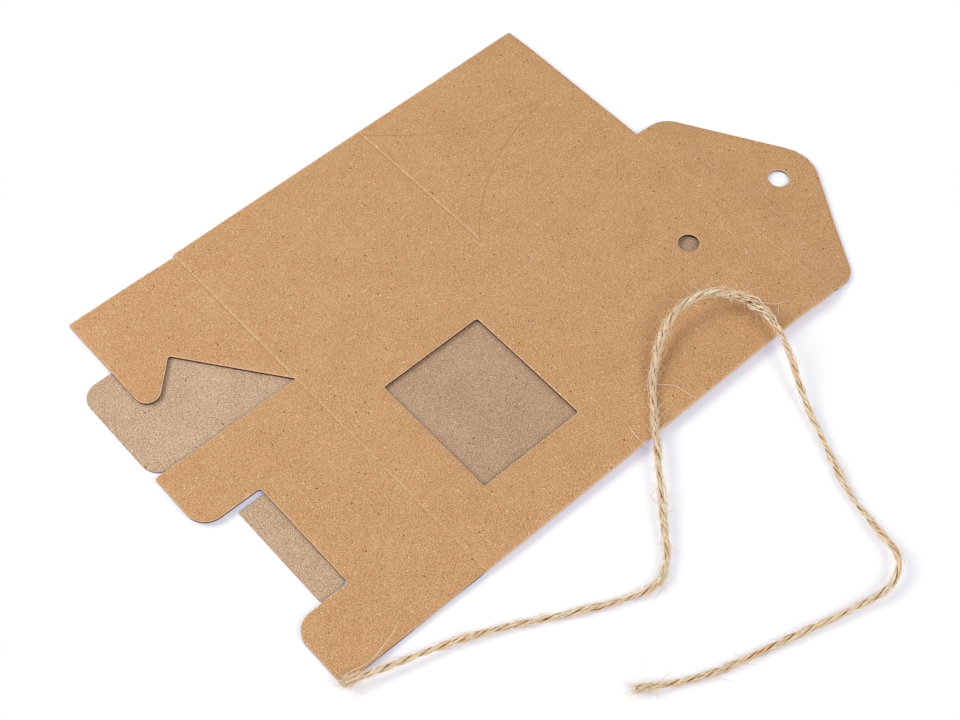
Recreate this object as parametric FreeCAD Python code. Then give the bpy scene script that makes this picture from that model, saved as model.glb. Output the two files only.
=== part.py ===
"""Kraft card gift carton with a window, folded flat as it is sold, and its jute twine tie.

The carton is one die-cut sheet, glued into a tube and pressed flat: an upper layer of a side
panel and the windowed front panel, and under it the back panel and the other side panel.
At -X the four bottom flaps of a lock bottom lie open, and at +X the tag-shaped closing tab.

Sizes are millimetres. +X runs from the lock bottom to the closing tab, +Z is up, and the
origin is the middle of the flat carton's outline, on the surface that it lies on.
"""
import FreeCAD
import Part

import math
import os

from FreeCAD import Vector

# Card
board = 0.45                # thickness of the card
layer_gap = 0.50            # space that springs open between the two layers

# Panels
panel_length = 105.0        # bottom score to top edge
front_width = 63.0          # front and back panels, fold to fold
side_width = 46.0           # side panels, fold to fold

# Glue flap
glue_flap_width = 13.0
glue_flap_end_taper = 5.0   # how much shorter each end is at the free edge
seam_gap = 2.4              # between the side panel's crease and the back panel's cut edge

# Window in the front panel
window_length = 27.3        # along the panel
window_width = 33.0         # across the panel
window_from_score = 13.0
window_corner_radius = 0.6

# Holes for the twine
hole_radius = 2.5
panel_hole_drop = 14.6      # top edge to the middle of the front and back holes
tab_hole_reach = 15.0       # tab's fold to the middle of its hole

# Closing tab
tab_side_inset = 0.2
tab_taper = 58.5            # degrees between the tab's axis and each slanted edge
tab_tip_radius = 9.8        # runs concentric with the tab's hole
tab_shoulder_radius = 6.5
tab_lean = 1.9              # degrees that the tab's axis leans towards the front panel's fold
tab_axis_out = 0.15         # the fold turns about a line this far beyond the top edge
tab_axis_height = 0.40      # and this far above the bottom, to wrap round the lower layer

# Lock bottom: the front panel's slotted flap
slotted_flap_length = 37.8
slotted_flap_inset = 0.25
slot_width = 29.3
slot_from_score = 22.5
slot_corner_radius = 0.8
prong_corner_radius = 5.0
cut_corner_radius = 0.5     # the corners that the die leaves nearly sharp

# Lock bottom: the back panel's tuck flap
tuck_flap_length = 37.7
tongue_clearance = 0.4      # between the tongue and each side of the slot
tongue_corner_radius = 4.4
shoulder_inset = 0.3
shoulder_corner_radius = 2.5
shoulder_from_score = 22.0

# Lock bottom: the two hooked side flaps
side_flap_length = 29.2
side_flap_inset = 0.85
hook_throat_reach = 17.3    # score to the bottom of the notch
hook_throat_across = 22.6   # panel's outer fold to the bottom of the notch
hook_angle = 45.0           # degrees between the hook's slanted edge and the panel's axis
hook_tip_radius = 3.0
hook_throat_radius = 0.6

# Gusset scores in the side panels
gusset_score_drop = 49.7    # top edge to the cross score
gusset_score_margin = 1.6   # the cross score stops this far from the folds
gusset_radius = 60.0        # of the two curved scores
gusset_meet_drop = 3.4      # top edge to where the curved scores meet the panel's middle

# Score marks
crease_width = 0.8
crease_depth = 0.06
bead_width = 0.9
bead_height = 0.10
hairline_width = 0.24
hairline_depth = 0.08

# Twine, as a line of points that its tube rounds off
twine_diameter = 1.6
twine_route = [
    (-83.0, -54.2, 2.6), (-73.8, -57.4, 2.4), (-56.5, -63.0, 1.1), (-36.4, -74.2, 0.9),
    (-22.6, -80.8, 1.2), (-16.0, -77.0, 1.6), (-10.5, -69.8, 2.2), (-1.0, -58.1, 5.2),
    (10.4, -44.7, 7.0), (23.0, -37.2, 7.4), (32.9, -37.4, 7.4), (38.8, -42.3, 7.0),
    (40.8, -50.6, 6.6), (38.2, -59.5, 5.0), (32.0, -70.0, 2.6), (27.8, -80.5, 1.2),
    (22.2, -92.0, 1.4), (20.0, -102.0, 2.4), (18.6, -109.3, 2.8), (12.2, -112.3, 2.2),
    (1.0, -109.2, 1.2), (-15.0, -104.2, 0.9), (-30.5, -99.8, 0.9), (-41.2, -93.0, 1.8),
]
arc_share = 0.45            # of the shorter run, taken by each rounded corner

# Heights of the two layers
lower_top = board
upper_bottom = board + layer_gap
stack_height = 2 * board + layer_gap

# The flat outline, centred on the origin
taper_angle = math.radians(tab_taper)
tab_reach = tab_hole_reach + tab_tip_radius
outline_length = slotted_flap_length + panel_length + tab_reach
top_x = outline_length / 2 - tab_reach
score_x = top_x - panel_length
back_fold_y = (front_width + side_width) / 2
front_fold_y = -back_fold_y
front_crease_y = back_fold_y - side_width
seam_y = front_fold_y + side_width
front_middle_y = (front_crease_y + front_fold_y) / 2
back_middle_y = (back_fold_y + seam_y) / 2
through = 4 * stack_height  # tall enough to cut right through a layer


def rounded_face(corners, height):
    """Flat face at one height whose corners (x, y, radius) are rounded by tangent arcs."""
    stops = []
    for index, (x, y, radius) in enumerate(corners):
        here = Vector(x, y, height)
        before = Vector(*corners[index - 1][:2], height)
        after = Vector(*corners[(index + 1) % len(corners)][:2], height)
        to_before = (before - here).normalize()
        to_after = (after - here).normalize()
        half_angle = to_before.getAngle(to_after) / 2
        reach = radius / math.tan(half_angle)
        inwards = (to_before + to_after).normalize()
        middle = here + inwards * (radius / math.sin(half_angle) - radius)
        stops.append((here + to_before * reach, middle, here + to_after * reach))
    edges = []
    for index, (start, middle, end) in enumerate(stops):
        last_end = stops[index - 1][2]
        if last_end.distanceToPoint(start) > 1e-6:
            edges.append(Part.LineSegment(last_end, start).toShape())
        if start.distanceToPoint(end) > 1e-6:
            edges.append(Part.Arc(start, middle, end).toShape())
    return Part.Face(Part.Wire(edges))


def plate(corners, height):
    """A flap: one thickness of card standing on the given height."""
    return rounded_face(corners, height).extrude(Vector(0, 0, board))


def block(x_low, x_high, y_low, y_high, z_low, z_high):
    """Box between two opposite corners."""
    size = (x_high - x_low, y_high - y_low, z_high - z_low)
    return Part.makeBox(*size, Vector(x_low, y_low, z_low))


def folded_tube():
    """The four panels and the glue flap, as one closed section drawn along the panels.

    The outer line runs from the back panel's cut edge round both folds to the side panel's
    crease, and from there up under the glue flap. The inner line bounds the space between
    the layers and steps over the glue flap, which is one with the back panel where it is
    glued down.
    """
    bend_outer = stack_height / 2
    bend_inner = layer_gap / 2
    back_bend = back_fold_y - bend_outer
    front_bend = front_fold_y + bend_outer
    back_edge_y = seam_y + seam_gap
    glue_edge_y = seam_y + glue_flap_width
    slope = math.atan2(board, seam_gap)
    mitre = board * math.tan(slope / 2)

    def at(y, z):
        return Vector(score_x, y, z)

    def line(start, end):
        return Part.LineSegment(start, end).toShape()

    def bend(start, fold_y, end):
        return Part.Arc(start, at(fold_y, stack_height / 2), end).toShape()

    outer = Part.Wire([
        line(at(back_edge_y, 0), at(back_bend, 0)),
        bend(at(back_bend, 0), back_fold_y, at(back_bend, stack_height)),
        line(at(back_bend, stack_height), at(front_bend, stack_height)),
        bend(at(front_bend, stack_height), front_fold_y, at(front_bend, 0)),
        line(at(front_bend, 0), at(seam_y, 0)),
        line(at(seam_y, 0), at(back_edge_y, lower_top)),
        line(at(back_edge_y, lower_top), at(back_edge_y, 0)),
    ])
    inner_back = back_bend + bend_inner
    inner_front = front_bend - bend_inner
    inner = Part.Wire([
        line(at(glue_edge_y, lower_top), at(back_bend, lower_top)),
        bend(at(back_bend, lower_top), inner_back, at(back_bend, upper_bottom)),
        line(at(back_bend, upper_bottom), at(front_bend, upper_bottom)),
        bend(at(front_bend, upper_bottom), inner_front, at(front_bend, lower_top)),
        line(at(front_bend, lower_top), at(seam_y - mitre, lower_top)),
        line(at(seam_y - mitre, lower_top), at(back_edge_y - mitre, 2 * board)),
        line(at(back_edge_y - mitre, 2 * board), at(glue_edge_y, 2 * board)),
        line(at(glue_edge_y, 2 * board), at(glue_edge_y, lower_top)),
    ])
    along = Vector(panel_length, 0, 0)
    space = Part.Face(inner).extrude(along)
    return Part.Face(outer).extrude(along).cut([space] + glue_flap_ends(back_edge_y, glue_edge_y))


def glue_flap_ends(root_y, edge_y):
    """Wedges that slant both ends of the glue flap, above the back panel it is glued to."""
    cuts = []
    for end_x, inwards in ((score_x, 1), (top_x, -1)):
        wedge = Part.makePolygon([
            Vector(end_x, root_y, lower_top),
            Vector(end_x + inwards * glue_flap_end_taper, edge_y, lower_top),
            Vector(end_x, edge_y, lower_top),
            Vector(end_x, root_y, lower_top),
        ])
        cuts.append(Part.Face(wedge).extrude(Vector(0, 0, board)))
    return cuts


def slotted_flap():
    """Front panel's bottom flap: two prongs either side of the slot that takes the tongue."""
    end_x = score_x - slotted_flap_length
    slot_x = score_x - slot_from_score
    high_y = front_crease_y - slotted_flap_inset
    low_y = front_fold_y + slotted_flap_inset
    slot_high_y = front_middle_y + slot_width / 2
    slot_low_y = front_middle_y - slot_width / 2
    return plate([
        (score_x, high_y, 0),
        (end_x, high_y, cut_corner_radius),
        (end_x, slot_high_y, prong_corner_radius),
        (slot_x, slot_high_y, slot_corner_radius),
        (slot_x, slot_low_y, slot_corner_radius),
        (end_x, slot_low_y, prong_corner_radius),
        (end_x, low_y, cut_corner_radius),
        (score_x, low_y, 0),
    ], upper_bottom)


def hooked_flap(outer_fold_y, height):
    """Side panel's bottom flap, with a notch that leaves a hook beside the outer fold."""
    end_x = score_x - side_flap_length
    edge_y = outer_fold_y - side_flap_inset
    throat_x = score_x - hook_throat_reach
    throat_y = outer_fold_y - hook_throat_across
    tip_y = throat_y - (throat_x - end_x) * math.tan(math.radians(hook_angle))
    return plate([
        (score_x, outer_fold_y - side_width, 0),
        (throat_x, throat_y, hook_throat_radius),
        (end_x, tip_y, hook_tip_radius),
        (end_x, edge_y, cut_corner_radius),
        (score_x, edge_y, 0),
    ], height)


def tuck_flap():
    """Back panel's bottom flap, whose tongue fits between the slotted flap's prongs."""
    end_x = score_x - tuck_flap_length
    shoulder_x = score_x - shoulder_from_score
    half_tongue = slot_width / 2 - tongue_clearance
    high_y = back_fold_y - shoulder_inset - board
    low_y = seam_y + seam_gap + shoulder_inset
    return plate([
        (score_x, low_y, 0),
        (score_x, high_y, 0),
        (shoulder_x, high_y, shoulder_corner_radius),
        (shoulder_x, back_middle_y + half_tongue, cut_corner_radius),
        (end_x, back_middle_y + half_tongue, tongue_corner_radius),
        (end_x, back_middle_y - half_tongue, tongue_corner_radius),
        (shoulder_x, back_middle_y - half_tongue, cut_corner_radius),
        (shoulder_x, low_y, shoulder_corner_radius),
    ], 0)


def window_cut():
    """The window, through the upper layer only."""
    low_x = score_x + window_from_score
    high_x = low_x + window_length
    low_y = front_middle_y - window_width / 2
    high_y = front_middle_y + window_width / 2
    radius = window_corner_radius
    face = rounded_face([
        (low_x, low_y, radius),
        (high_x, low_y, radius),
        (high_x, high_y, radius),
        (low_x, high_y, radius),
    ], upper_bottom)
    return face.extrude(Vector(0, 0, through))


def hole_cut(x, y, height):
    """Punched hole through the layer that starts at a height."""
    return Part.makeCylinder(hole_radius, board, Vector(x, y, height))


def curved_scores(outer_fold_y):
    """The two hairline scores of a side panel, as flat faces on the plane z = 0.

    Each is an arc that touches the panel's middle line near the top edge and spreads to an
    end of the cross score.
    """
    middle_y = outer_fold_y - side_width / 2
    meet_x = top_x - gusset_meet_drop
    sweep = math.asin((gusset_score_drop - gusset_meet_drop) / gusset_radius)
    faces = []
    for side in (1, -1):
        centre = Vector(meet_x, middle_y + side * gusset_radius, 0)

        def arc(radius, bearings):
            spokes = [Vector(-math.sin(turn), -side * math.cos(turn), 0) for turn in bearings]
            return Part.Arc(*[centre + spoke * radius for spoke in spokes])

        outer = arc(gusset_radius + hairline_width / 2, (0, sweep / 2, sweep))
        inner = arc(gusset_radius - hairline_width / 2, (sweep, sweep / 2, 0))
        faces.append(Part.Face(Part.Wire([
            outer.toShape(),
            Part.LineSegment(outer.EndPoint, inner.StartPoint).toShape(),
            inner.toShape(),
            Part.LineSegment(inner.EndPoint, outer.StartPoint).toShape(),
        ])))
    return faces


def straight_creases():
    """Every straight crease, as (x_low, x_high, y_low, y_high) of its middle line, by layer."""
    flat_low_y = front_fold_y + stack_height / 2
    flat_high_y = back_fold_y - stack_height / 2
    cross_x = top_x - gusset_score_drop
    upper = [
        (score_x, score_x, flat_low_y, flat_high_y),
        (score_x, top_x, front_crease_y, front_crease_y),
        (cross_x, cross_x, front_crease_y + gusset_score_margin,
         back_fold_y - gusset_score_margin),
    ]
    lower = [
        (score_x, score_x, flat_low_y, seam_y - seam_gap),
        (score_x, score_x, seam_y + seam_gap + bead_width, flat_high_y),
        (cross_x, cross_x, front_fold_y + gusset_score_margin, seam_y - gusset_score_margin),
    ]
    return upper, lower


def strip(crease, width, z_low, z_high):
    """Block of a given width along a crease's middle line."""
    x_low, x_high, y_low, y_high = crease
    spread_x = width / 2 if x_low == x_high else 0
    spread_y = width / 2 if y_low == y_high else 0
    return block(x_low - spread_x, x_high + spread_x, y_low - spread_y, y_high + spread_y,
                 z_low, z_high)


def score_grooves():
    """Grooves in the card's outer face: the creases, the hairlines and the tab's fold."""
    upper, lower = straight_creases()
    cuts = [strip(crease, crease_width, stack_height - crease_depth, through)
            for crease in upper]
    cuts += [strip(crease, crease_width, -through, crease_depth) for crease in lower]
    cuts.append(tab_fold_groove())
    for face in curved_scores(back_fold_y):
        hairline = face.extrude(Vector(0, 0, through))
        cuts.append(hairline.translated(Vector(0, 0, stack_height - hairline_depth)))
    for face in curved_scores(seam_y):
        hairline = face.extrude(Vector(0, 0, through))
        cuts.append(hairline.translated(Vector(0, 0, hairline_depth - through)))
    return cuts


def crease_beads():
    """Low ridges in the card's inner face, one behind each crease that is pressed in."""
    upper, lower = straight_creases()
    beads = [strip(crease, bead_width, upper_bottom - bead_height, upper_bottom)
             for crease in upper]
    beads += [strip(crease, bead_width, lower_top, lower_top + bead_height)
              for crease in lower]
    return beads


def tab_fold_groove():
    """Groove along the closing tab's fold, half in the front panel and half in the tab."""
    return block(top_x - crease_width / 2, top_x + crease_width / 2,
                 front_fold_y, front_crease_y - tab_side_inset,
                 stack_height - crease_depth, through)


def make_carton():
    """The sheet without its closing tab: panels, bottom flaps, window, holes and scores."""
    sheet = folded_tube().fuse([
        slotted_flap(),
        hooked_flap(back_fold_y, upper_bottom),
        hooked_flap(seam_y, 0),
        tuck_flap(),
    ] + crease_beads())
    hole_x = top_x - panel_hole_drop
    sheet = sheet.cut([
        window_cut(),
        hole_cut(hole_x, front_middle_y, upper_bottom),
        hole_cut(hole_x, back_middle_y, 0),
    ] + score_grooves())
    return sheet.removeSplitter()


def make_closing_tab():
    """The tag-shaped tab on the front panel's top edge, which it meets at the fold."""
    half_width = front_width / 2 - tab_side_inset
    apex_reach = tab_hole_reach + tab_tip_radius / math.sin(taper_angle)
    shoulder_reach = apex_reach - half_width / math.tan(taper_angle)
    lean = math.radians(tab_lean)

    def leaning(reach, across, radius):
        x = reach * math.cos(lean) + across * math.sin(lean)
        y = across * math.cos(lean) - reach * math.sin(lean)
        return (top_x + x, front_middle_y + y, radius)

    tab = plate([
        (top_x, front_middle_y - half_width, 0),
        leaning(shoulder_reach, -half_width, tab_shoulder_radius),
        leaning(apex_reach, 0, tab_tip_radius),
        leaning(shoulder_reach, half_width, tab_shoulder_radius),
        (top_x, front_middle_y + half_width, 0),
    ], upper_bottom)
    hole_x, hole_y, hole_r = leaning(tab_hole_reach, 0, hole_radius)
    hole = hole_cut(hole_x, hole_y, upper_bottom)
    return tab.cut([hole, tab_fold_groove()])


def twine_path():
    """Straight runs along the route, joined at each point by an arc that touches both."""
    points = [Vector(*point) for point in twine_route]
    edges = []
    radii = []
    last = points[0]
    for before, here, after in zip(points, points[1:], points[2:]):
        reach = arc_share * min((here - before).Length, (after - here).Length)
        to_before = (before - here).normalize()
        to_after = (after - here).normalize()
        half_angle = to_before.getAngle(to_after) / 2
        radius = reach * math.tan(half_angle)
        start = here + to_before * reach
        end = here + to_after * reach
        inwards = (to_before + to_after).normalize()
        middle = here + inwards * (radius / math.sin(half_angle) - radius)
        edges.append(Part.LineSegment(last, start).toShape())
        edges.append(Part.Arc(start, middle, end).toShape())
        radii.append(radius)
        last = end
    edges.append(Part.LineSegment(last, points[-1]).toShape())
    return Part.Wire(edges), radii


def make_twine():
    """The loose twine: a round tube along its path."""
    path, radii = twine_path()
    start = path.Vertexes[0].Point
    along = (Vector(*twine_route[1]) - Vector(*twine_route[0])).normalize()
    circle = Part.Circle(start, along, twine_diameter / 2)
    section = Part.Wire([circle.toShape()])
    twine = path.makePipeShell([section], True, True)
    expected = path.Length * math.pi * twine_diameter ** 2 / 4
    print("twine length", round(path.Length, 1))
    print("twine volume over section times length", round(twine.Volume / expected, 4))
    print("twine bend radii", [round(radius, 1) for radius in radii])
    return twine


def main():
    """Write one STEP file for each node."""
    os.makedirs("parts", exist_ok=True)
    nodes = {
        "carton": make_carton(),
        "closing_tab": make_closing_tab(),
        "twine": make_twine(),
    }
    for name, shape in nodes.items():
        solids = shape.Solids
        box = shape.BoundBox
        print(name, "solids", len(solids), "valid", shape.isValid(),
              "volume", round(shape.Volume, 1),
              "x", round(box.XMin, 3), round(box.XMax, 3),
              "y", round(box.YMin, 3), round(box.YMax, 3),
              "z", round(box.ZMin, 3), round(box.ZMax, 3))
        solids[0].exportStep("parts/" + name + ".step")
    fold_x = top_x + tab_axis_out
    print("closing tab turns about x", round(fold_x, 3), "z", tab_axis_height)


main()
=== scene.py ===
"""A kraft card gift box, folded flat as it is sold, and its loose jute twine.

The box is one die-cut blank. It is drawn flat, as a plan of x and girth in millimetres, and
then folded: the girth runs round the flattened tube, from the glue flap's free edge to the
back panel's cut edge, and on the upper layer it is the same as y. Finished meshes are in
metres, in the CAD model's frame.
"""

import math

import bpy
import numpy as np
from mathutils import Matrix, Vector
from mathutils.geometry import delaunay_2d_cdt


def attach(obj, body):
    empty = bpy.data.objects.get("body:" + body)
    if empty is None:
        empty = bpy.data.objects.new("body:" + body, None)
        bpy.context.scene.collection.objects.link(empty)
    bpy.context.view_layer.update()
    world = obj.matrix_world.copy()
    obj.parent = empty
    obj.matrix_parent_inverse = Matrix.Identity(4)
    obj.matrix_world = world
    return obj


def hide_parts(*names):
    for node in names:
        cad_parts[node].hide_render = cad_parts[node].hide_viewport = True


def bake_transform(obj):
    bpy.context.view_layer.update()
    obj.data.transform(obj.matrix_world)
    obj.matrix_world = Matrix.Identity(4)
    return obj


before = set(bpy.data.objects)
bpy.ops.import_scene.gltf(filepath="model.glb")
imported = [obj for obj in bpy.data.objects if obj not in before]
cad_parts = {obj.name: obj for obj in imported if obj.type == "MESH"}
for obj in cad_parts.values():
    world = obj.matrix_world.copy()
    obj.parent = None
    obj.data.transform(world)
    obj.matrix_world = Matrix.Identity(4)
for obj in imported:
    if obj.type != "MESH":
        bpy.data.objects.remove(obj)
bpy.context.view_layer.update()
scene = bpy.context.scene
MM = 0.001


# ---- camera

def make_camera():
    """Camera high over the lock bottom's corner, looking down at the whole carton."""
    data = bpy.data.cameras.new("camera")
    data.sensor_width = 36
    data.lens = 62.08
    data.clip_start = 0.01
    camera = bpy.data.objects.new("camera", data)
    place = Vector((-0.14299, -0.16681, 0.30740))
    target = Vector((-0.01207, -0.01447, 0.0))
    aim = (target - place).to_track_quat("-Z", "Y").to_matrix().to_4x4()
    tilt = Matrix.Rotation(math.radians(-1.152), 4, "Z")
    camera.matrix_world = Matrix.Translation(place) @ aim @ tilt
    scene.collection.objects.link(camera)
    scene.camera = camera


make_camera()


# ---- shared tools

def mesh_object(name, points, faces, sharp_over=None):
    """Smooth object at the origin from an array of points in metres and a list of faces."""
    mesh = bpy.data.meshes.new(name)
    mesh.from_pydata(points.tolist(), [], faces)
    mesh.polygons.foreach_set("use_smooth", np.full(len(mesh.polygons), True))
    if sharp_over is not None:
        mesh.set_sharp_from_angle(angle=math.radians(sharp_over))
    mesh.update()
    made = bpy.data.objects.new(name, mesh)
    scene.collection.objects.link(made)
    return made


def point_values(made, name, values):
    """Stores one vector for each point, which the materials read by name."""
    layer = made.data.attributes.new(name, "FLOAT_VECTOR", "POINT")
    layer.data.foreach_set("vector", np.ascontiguousarray(values, np.float32).ravel())


def ramp(t):
    """3 t^2 - 2 t^3, held at 0 below t = 0 and at 1 above t = 1."""
    t = np.clip(t, 0, 1)
    return t * t * (3 - 2 * t)


def bell(distance, width):
    """exp(-(distance / width)^2)."""
    return np.exp(-(distance / width) ** 2)


def unit(vectors):
    """Each vector brought to a length of 1."""
    return vectors / np.maximum(np.linalg.norm(vectors, axis=-1, keepdims=True), 1e-9)


def off_line(points, start, end):
    """From the nearest place on a straight line to each point."""
    along = end - start
    share = np.clip(((points - start) @ along) / (along @ along), 0, 1)
    return points - start - share[:, None] * along


def fill(tree, shader, sockets):
    """Sets a shader node's inputs, or links those that are given another node's output."""
    for name, value in sockets.items():
        if isinstance(value, bpy.types.NodeSocket):
            tree.links.new(value, shader.inputs[name])
        else:
            shader.inputs[name].default_value = value


def node(tree, kind, sockets, **settings):
    """One shader node: settings are its own values, sockets its inputs."""
    made = tree.nodes.new("ShaderNode" + kind)
    for name, value in settings.items():
        setattr(made, name, value)
    fill(tree, made, sockets)
    return made


def new_material(name):
    """A material, its nodes and its main shader."""
    material = bpy.data.materials.new(name)
    material.use_nodes = True
    tree = material.node_tree
    return material, tree, tree.nodes["Principled BSDF"]


def stored(tree, name):
    """The vector that point_values stored under a name."""
    return node(tree, "Attribute", {}, attribute_name=name).outputs["Vector"]


def along_axis(tree, vector, axis):
    """One number of a vector."""
    return node(tree, "SeparateXYZ", {0: vector}).outputs[axis]


def bumped(tree, height, strength, depth):
    """The face's direction, roughened by a height, with the depth in metres."""
    made = node(tree, "Bump", {"Height": height, "Strength": strength, "Distance": depth})
    return made.outputs["Normal"]


def maths(tree, operation, a, b=0.0, c=0.0):
    """Output of a Math node."""
    return node(tree, "Math", {0: a, 1: b, 2: c}, operation=operation).outputs[0]


def mixed(tree, factor, a, b, how="MIX"):
    """Output of a colour Mix node."""
    return node(tree, "Mix", {0: factor, 6: a, 7: b}, data_type="RGBA",
                blend_type=how).outputs[2]


def ranged(tree, value, low, high, to_low=0.0, to_high=1.0, smooth=False):
    """Output of a Map Range node that holds its ends."""
    return node(tree, "MapRange", {
        "Value": value, "From Min": low, "From Max": high, "To Min": to_low, "To Max": to_high},
        interpolation_type="SMOOTHSTEP" if smooth else "LINEAR").outputs["Result"]


def turned(tree, vector, degrees=0.0, scale=(1, 1, 1), shift=(0, 0, 0)):
    """The pattern's coordinates, scaled, turned about their third axis and shifted."""
    return node(tree, "Mapping", {
        "Vector": vector, "Scale": scale, "Location": shift,
        "Rotation": (0, 0, math.radians(degrees))}, vector_type="POINT").outputs[0]


def noise(tree, vector, scale, detail=2.0, roughness=0.5, distortion=0.0):
    """Output of a Noise Texture, about 0.5 on average."""
    return node(tree, "TexNoise", {
        "Vector": vector, "Scale": scale, "Detail": detail, "Roughness": roughness,
        "Distortion": distortion}).outputs["Fac"]


def cells(tree, vector, scale):
    """A random number for each cell of a flat pattern, and the distance from its middle."""
    made = node(tree, "TexVoronoi", {"Vector": vector, "Scale": scale},
                voronoi_dimensions="2D")
    number = node(tree, "SeparateColor", {"Color": made.outputs["Color"]}).outputs["Red"]
    return number, made.outputs["Distance"]


def colour(red, green, blue):
    """Scene colour of an sRGB colour given as 0 to 255."""
    share = np.array([red, green, blue]) / 255
    linear = np.where(share > 0.04045, ((share + 0.055) / 1.055) ** 2.4, share / 12.92)
    return (*linear.tolist(), 1.0)


# ---- card: sizes, in mm

board = 0.45
layer_gap = 0.50
panel_length = 105.0
front_width = 63.0
side_width = 46.0
glue_flap_width = 13.0
glue_flap_end_taper = 5.0
seam_gap = 2.4
top_x = 59.0

hole_radius = 2.5
panel_hole_drop = 14.6
front_hole_shift = 0.5  # towards the front fold
window_from_score = 12.9
window_length = 27.22
window_low_half = 16.55  # from the panel's middle to each long side
window_high_half = 16.5
window_corner_radius = 0.6

tab_side_gap = 0.2
tab_lean = math.radians(1.8)
tab_shift = 0.2  # towards the front fold
tab_taper = math.radians(58.5)
tab_tip_radius = 9.8
tab_tip_middle = 15.45  # reach of the middle of the tip's arc
tab_hole_reach = 15.6

slotted_flap_length = 37.8
short_prong = 0.4  # what the prong by the front fold lacks
slot_from_score = 22.5
slot_width = 29.3
prong_corner_radius = 5.0
side_flap_length = 29.2
side_flap_inset = 0.85
hook_throat_reach = 17.3
hook_throat_across = 22.6
hook_throat_radius = 0.6
hook_tip_radius = 3.0
tuck_flap_length = 37.7
shoulder_from_score = 22.0
shoulder_radius = 2.5
shoulder_inset = 0.3
tongue_clearance = 0.4
tongue_corner_radius = 4.4
cut_radius = 0.5

score_x = top_x - panel_length
stack = 2 * board + layer_gap
back_fold_y = (front_width + side_width) / 2
front_crease_y = back_fold_y - side_width
front_middle_y = front_crease_y - front_width / 2
seam_y = front_crease_y - front_width + side_width
back_middle_y = (back_fold_y + seam_y) / 2

bend_radius = 0.24  # of the middle of the card, at a fold
flat_half = back_fold_y - bend_radius - board / 2
bend_length = math.pi * bend_radius
around = 2 * flat_half + bend_length  # girth + y of a point on the lower layer
seam_girth = -around - seam_y
step_length = math.hypot(seam_gap, board)
glue_free_girth = seam_girth - step_length - (glue_flap_width - seam_gap)
back_cut_girth = around - (seam_y + seam_gap)


# ---- card: the blank's outline

def spokes(bearing):
    """The direction (cos t, sin t) of each bearing t."""
    return np.column_stack([np.cos(bearing), np.sin(bearing)])


def circle_line(middle, radius, count=36):
    """Closed round line, for a punched hole."""
    return np.array(middle) + radius * spokes(np.arange(count) / count * math.tau)


def rounded_outline(corners, step=1.2, arc_steps=0.22):
    """Closed line through corners (x, girth, radius), each rounded by a tangent arc.

    The arc's points are centre + radius * (cos t, sin t) between the two bearings at which
    the sides meet it, and the straight sides are divided about every step.
    """
    corners = np.array(corners, float)
    here, radius = corners[:, :2], corners[:, 2]
    to_before = unit(np.roll(here, 1, 0) - here)
    to_after = unit(np.roll(here, -1, 0) - here)
    half = np.arccos(np.clip((to_before * to_after).sum(1), -1, 1)) / 2
    reach = radius / np.tan(half)
    start, end = here + to_before * reach[:, None], here + to_after * reach[:, None]
    centre = here + unit(to_before + to_after) * (radius / np.sin(half))[:, None]
    line = []
    for i in range(len(corners)):
        if radius[i] > 0:
            sweep = math.pi - 2 * half[i]
            count = max(3, math.ceil(sweep / arc_steps))
            turn = -np.sign(np.cross(to_before[i], to_after[i])) * sweep
            spoke = start[i] - centre[i]
            bearing = math.atan2(spoke[1], spoke[0]) + turn * np.linspace(0, 1, count + 1)
            line.append(centre[i] + radius[i] * spokes(bearing))
        else:
            line.append(here[i][None])
        away = start[(i + 1) % len(corners)]
        count = max(1, math.ceil(np.linalg.norm(away - end[i]) / step))
        share = np.linspace(0, 1, count + 1)[1:-1, None]
        line.append(end[i] + (away - end[i]) * share)
    return np.concatenate(line)


def tab_point(reach, across, radius=0.0):
    """A point of the closing tab, whose axis leans towards the front fold."""
    return (top_x + reach * math.cos(tab_lean) + across * math.sin(tab_lean),
            front_middle_y - tab_shift + across * math.cos(tab_lean)
            - reach * math.sin(tab_lean), radius)


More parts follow.
